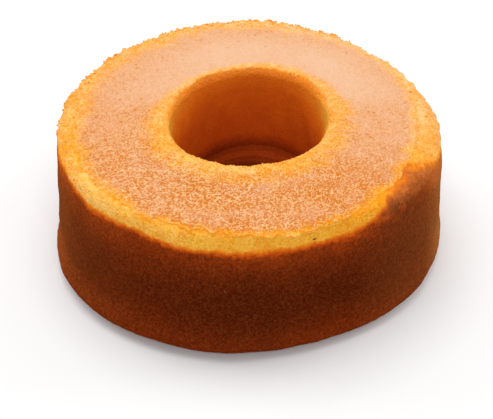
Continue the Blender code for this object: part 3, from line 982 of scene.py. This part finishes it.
def baked_finish(name, groups, roughness, specular, curl_depth, grain_depth, mottling):
    """The finish of all baked surfaces: yellow crumb that browns with the tone mark and the bake mark's
    clouds, which on the wall also hold painted shade and light, under the pored skin where the skin mark
    says."""
    material, tree, shader = new_material(name, specular)
    place = add(tree, "TexCoord").outputs["Object"]
    grain = use_group(tree, groups["grain"], {"Vector": place, "Size": 0.0009, "Pits": 0.45})
    curls, small_curls = (use_group(tree, groups["curls"], {"Vector": place, "Size": size})["Ridge"]
                          for size in (0.0022, 0.0012))
    specks = use_group(tree, groups["specks"], {"Vector": place, "Size": 0.0013, "Share": 0.3,
                                                "Spread": 0.36})["Mask"]
    flicker, velvet = (scaled(tree, cloud(tree, place, size, detail), 1.0, -0.5)
                       for size, detail in ((0.0006, 1.0), (0.0016, 2.0)))
    uneven = scaled(tree, grain["Shade"], 1.0, -0.5)
    ridges = scaled(tree, small_curls, 0.4, scaled(tree, curls, 0.6))
    hollow, tone, pale = (mark(tree, label) for label in ("hollow", "tone", "pale"))
    # How brown, in clouds and mottled, with dark flecks on its ridges, and golden where it is marked pale
    browned = remap(tree, tone, 0.15, 0.75)
    clouded = scaled(tree, mark(tree, "bake_and_shade"), scaled(tree, browned, 0.085), tone)
    mottles = scaled(tree, velvet, scaled(tree, browned, -0.31))
    for mottle, share in ((uneven, -0.12), (flicker, -0.14), (specks, -0.1)):
        mottles = scaled(tree, mottle, share, mottles)
    amount = scaled(tree, mottles, mottling, clouded)
    baked = use_group(tree, groups["browning"], {"Amount": amount})["Color"]
    flecked = scaled(tree, remap(tree, ridges, 0.45, 0.95), 0.14 * mottling)
    baked = blended(tree, flecked, baked, FLECK)
    # where marked pale the brown turns golden; on the flanks this gold is partly painted sheen
    gold_and_sheen_share = maths(tree, "MULTIPLY", pale, remap(tree, tone, 0.14, 0.5))
    gold_and_sheen = blended(tree, remap(tree, velvet, -0.22, 0.22), GOLD_AND_SHEEN_BROWN, GOLD_AND_SHEEN_PALE)
    baked = blended(tree, gold_and_sheen_share, baked, gold_and_sheen)
    # Open crumb and skin, each paler on its ridges than in its hollows
    sunk = scaled(tree, ridges, -0.55, scaled(tree, hollow, 1.6, 0.12))
    soft = scaled(tree, ridges, -0.45, scaled(tree, hollow, 0.9, 0.22))
    skin = two_tone(tree, scaled(tree, flicker, -1.2, sunk), pale, SKIN)
    crumb = two_tone(tree, scaled(tree, velvet, -0.8, soft), pale, CRUMB)
    patches = remap(tree, cloud(tree, place, 0.013, 3.0), 0.45, 0.72, 0.0, 0.3)
    skin = blended(tree, patches, skin, SKIN_MAUVE)
    skin = blended(tree, remap(tree, hollow, 1.0, 1.6, 0.0, 0.8), skin, SKIN_PORE)
    body = blended(tree, remap(tree, tone, 0.28, 0.02), baked, crumb)
    tree.links.new(blended(tree, mark(tree, "skin"), body, skin), shader["Base Color"])
    # Roughness and fine bumps, softer where it is browned
    tree.links.new(remap(tree, grain["Shade"], 0.0, 1.0, min(roughness + 0.12, 1.0), roughness),
                   shader["Roughness"])
    fine = add(tree, "Bump", {"Height": grain["Height"], "Distance": grain_depth, "Strength": 1.0})
    strength = maths(tree, "MULTIPLY", remap(tree, browned, 1.0, 0.0, 0.35, 1.0),
                     remap(tree, pale, 0.0, 1.0, 1.0, 0.35))
    bump = add(tree, "Bump", {"Height": ridges, "Distance": curl_depth, "Strength": strength,
                              "Normal": fine.outputs["Normal"]})
    tree.links.new(bump.outputs["Normal"], shader["Normal"])
    return material


def speck_finish():
    """Toasted meal: near black brown, mottled and matte."""
    material, tree, shader = new_material("toasted_speck", 0.0)
    grain = cloud(tree, add(tree, "TexCoord").outputs["Object"], 0.0004)
    tree.links.new(blended(tree, grain, SPECK_DARK, SPECK_PALE), shader["Base Color"])
    tree.links.new(remap(tree, grain, 0.0, 1.0, 0.45, 0.8), shader["Roughness"])
    bump = add(tree, "Bump", {"Height": grain, "Distance": 0.0001})
    tree.links.new(bump.outputs["Normal"], shader["Normal"])
    return material


# ---- crumbs and specks

GOLDEN = (1 + 5 ** 0.5) / 2


def lump():
    """A twenty-sided lump of radius 1: three golden rectangles' corners, and the faces between them."""
    corners = np.array([p for a in (-1, 1) for b in (-GOLDEN, GOLDEN)
                        for p in ((0, a, b), (a, b, 0), (b, 0, a))], float)
    near = np.linalg.norm(corners[:, None] - corners, axis=-1) < 2.1
    faces = np.array([trio for trio in combinations(range(12), 3) if near[np.ix_(trio, trio)].all()])
    a, b, c = corners[faces.T]
    inward = np.einsum("ij,ij->i", np.cross(b - a, c - a), a) < 0
    faces[inward] = faces[inward][:, ::-1]
    return corners / np.linalg.norm(corners[0]), faces


def turned(draw, count):
    """A random rotation for each lump, from unit quaternions: 1 + 2wC + 2CC, where C is the matrix that
    crosses with (x, y, z)."""
    w, x, y, z = (q := draw.normal(size=(4, count))) / np.linalg.norm(q, axis=0)
    cross = np.zeros((count, 3, 3))
    cross[:, [2, 0, 1], [1, 2, 0]] = np.stack([x, y, z], axis=-1)
    cross = cross - cross.swapaxes(1, 2)
    return np.eye(3) + 2 * w[:, None, None] * cross + 2 * cross @ cross


def lumps(centres, sizes, squash, draw):
    """Many small uneven lumps as one mesh: the twenty-sided lump, its corners moved at random, squashed,
    turned at random, sized and put at its centre."""
    corners, faces = lump()
    count = len(centres)
    shape = corners * draw.uniform(0.62, 1.25, (count, len(corners), 1)) * squash
    shape = np.einsum("nij,nkj->nki", turned(draw, count), shape)
    points = centres[:, None] + sizes[:, None, None] * shape
    offset = np.arange(count)[:, None, None] * len(corners)
    return points.reshape(-1, 3), (faces + offset).reshape(-1, 3)


def clinging_crumbs(name, points, finish, by_azimuth, zone, count, sizes, seed):
    """Crumbs on a ring where its zone says, (least depth, most depth, least radius): at random points,
    more where the table is higher, most of them near the smaller of the two sizes."""
    draw = np.random.default_rng(seed)
    spot, normal = points.reshape(-1, 3), grid_normals(points).reshape(-1, 3)
    x, y, height = (spot - AXIS).T
    depth, radius = HEIGHT - height, np.hypot(x, y)
    weight = around(np.arctan2(y, x), by_azimuth) * (depth > zone[0]) * (depth < zone[1]) * (radius > zone[2])
    chosen = draw.choice(len(spot), count, replace=False, p=weight / weight.sum())
    size = sizes[0] + (sizes[1] - sizes[0]) * draw.uniform(0, 1, count) ** 2.5
    centres = spot[chosen] + normal[chosen] * size[:, None] * 0.15
    body, faces = lumps(centres, size, (1.0, 0.8, 0.65), draw)
    hollow, tone = draw.uniform(0.1, 0.6, count), 0.15 * draw.uniform(0, 1, count) ** 3
    hollow, tone = (np.repeat(value, len(body) // count) for value in (hollow, tone))
    marks = {"tone": tone, "hollow": hollow, "pale": pale_and_sheen(body), "skin": 0 * tone, "bake_and_shade": 0 * tone}
    return new_piece(name, body, faces, finish, marks)


# ---- camera, floor and light

FLOOR_GAP = 0.0002
# Each light's place, width and power
LIGHTS = (("top_light", (-0.1, 0.1, 1.3), 0.9, 9.3), ("left_light", (-1.15, 0.55, 0.75), 0.8, 6.0),
          ("right_light", (1.15, 0.45, 0.75), 0.8, 6.0), ("front_light", (0.1, -1.2, 0.95), 0.8, 6.2))


def photo_camera():
    """The photograph's camera: level, looking down at the cake along the middle of its frame, with the
    small shift that puts the cake where the photograph has it."""
    data = bpy.data.cameras.new("photo_camera")
    data.sensor_width = SENSOR_WIDTH
    data.lens = FOCAL_PIXELS * SENSOR_WIDTH / FRAME_WIDTH
    data.shift_x = (FRAME_WIDTH / 2 - AXIS_PIXEL[0]) / FRAME_WIDTH
    data.shift_y = (AXIS_PIXEL[1] - FRAME_HEIGHT / 2) / FRAME_WIDTH
    camera = in_scene("photo_camera", data)
    down = np.radians(CAMERA_ELEVATION)
    back = CAMERA_DISTANCE * np.array([0, -np.cos(down), np.sin(down)])
    camera.location = AXIS + back + (0, 0, CAMERA_AIM_HEIGHT)
    camera.rotation_euler = (np.pi / 2 - down, 0, 0)
    bpy.context.scene.camera = camera
    return camera


def seen_at(points, camera):
    """Where points fall in the photograph's frame, in pixels, and how far in front of the camera."""
    bpy.context.view_layer.update()
    inverse = np.array(camera.matrix_world.inverted())
    seen = points @ inverse[:3, :3].T + inverse[:3, 3]
    across = AXIS_PIXEL[0] + FOCAL_PIXELS * seen[:, 0] / -seen[:, 2]
    down = AXIS_PIXEL[1] - FOCAL_PIXELS * seen[:, 1] / -seen[:, 2]
    return across, down, -seen[:, 2]


def dark_specks(rings, camera, finish):
    """Flat dark bits of toasted meal, each on the surface that its pixel of the photograph shows."""
    draw = np.random.default_rng(8)
    spot = np.concatenate([points.reshape(-1, 3) for points in rings])
    normal = np.concatenate([grid_normals(points).reshape(-1, 3) for points in rings])
    across, down, away = seen_at(spot, camera)
    toward = np.array(camera.location) - spot
    facing = np.einsum("ij,ij->i", toward, normal) > 0
    centres, sizes = [], []
    for x, y, size in DARK_SPECKS:
        near = facing & (np.hypot(across - x, down - y) < 1.5)
        best = np.flatnonzero(near)[away[near].argmin()]
        centres.append(spot[best] + normal[best] * size * 0.08)
        sizes.append(size / 2)
    body, faces = lumps(np.array(centres), np.array(sizes), (1.0, 0.6, 0.35), draw)
    return new_piece("dark_specks", body, faces, finish)


def floor_plane():
    """A plain pale table top, far wider than the view."""
    mesh = bpy.data.meshes.new("floor")
    corners = [(x, y, AXIS[2] - FLOOR_GAP) for x, y in ((-6, -6), (6, -6), (6, 6), (-6, 6))]
    mesh.from_pydata(corners, [], [(0, 1, 2, 3)])
    material, _, shader = new_material("pale_floor", 0.1)
    shader["Base Color"].default_value = (0.8, 0.8, 0.8, 1.0)
    shader["Roughness"].default_value = 0.7
    mesh.materials.append(material)
    in_scene("floor", mesh)


def soft_light():
    """A pale room, and square soft lights that point at the middle of the cake: a large one above, one
    behind on each side and one over the camera."""
    world = bpy.data.worlds.new("studio")
    bpy.context.scene.world = world
    world.use_nodes = True
    room = world.node_tree.nodes["Background"].inputs
    room["Color"].default_value = (1.0, 1.0, 1.0, 1.0)
    room["Strength"].default_value = 0.5
    for name, place, size, power in LIGHTS:
        data = bpy.data.lights.new(name, "AREA")
        data.size = size
        data.energy = power
        light = in_scene(name, data)
        light.location = place
        aim = Vector((0, 0, HEIGHT / 2)) - Vector(place)
        light.rotation_euler = aim.to_track_quat("-Z", "Y").to_euler()
    bpy.context.scene.view_settings.view_transform = "Standard"


# ---- the whole

# Each finish: roughness, specular level, depth of its curls and of its grain, and how mottled it is
FINISHES = {
    "pored_crust": (0.62, 0.1, 0.00013, 0.0001, 1.0),
    "crumbly_rim": (0.7, 0.05, 0.00008, 0.00008, 0.7),
    "browned_side": (0.78, 0.0, 0.00012, 0.0001, 1.0),
    "hole_wall": (0.8, 0.02, 0.0001, 0.00006, 0.35),
}

soft_light()
floor_plane()
camera = photo_camera()
groups = {
    "grain": new_group("crumb_grain", {"Size": 0.001, "Pits": 0.5}, crumb_grain),
    "curls": new_group("meal_curls", {"Size": 0.0013}, meal_curls),
    "specks": new_group("meal_specks", {"Size": 0.002, "Share": 0.2, "Spread": 0.3}, meal_specks),
    "browning": new_group("browning", {"Amount": 0.5}, browning, place=False),
}
crust, rim, side, hole = (baked_finish(name, groups, *values) for name, values in FINISHES.items())

rings = {
    "yellow_shoulder": (shoulder_ring(), side),
    "browned_wall": (wall_ring(), side),
    "risen_crown": (crown_ring(), side),
    "top_crust": (crust_ring(), crust),
    "inner_crust": (inner_crust_ring(), crust),
    "hole_rim": (rim_ring(), rim),
    "tube_hole": (hole_ring(), hole),
}
for name, (ring, finish) in rings.items():
    ring_piece(name, ring, finish)
clinging_crumbs("rim_crumbs", rings["yellow_shoulder"][0][0], side, RIM_CRUMBS, (-0.002, 0.0045, 0.0905),
                RIM_CRUMB_COUNT, RIM_CRUMB_SIZE, 5)
clinging_crumbs("lip_crumbs", rings["hole_rim"][0][0], rim, LIP_CRUMBS, (0.0004, 0.0026, 0.0425),
                LIP_CRUMB_COUNT, LIP_CRUMB_SIZE, 6)
dark_specks([ring[0] for ring, _ in rings.values()], camera, speck_finish())
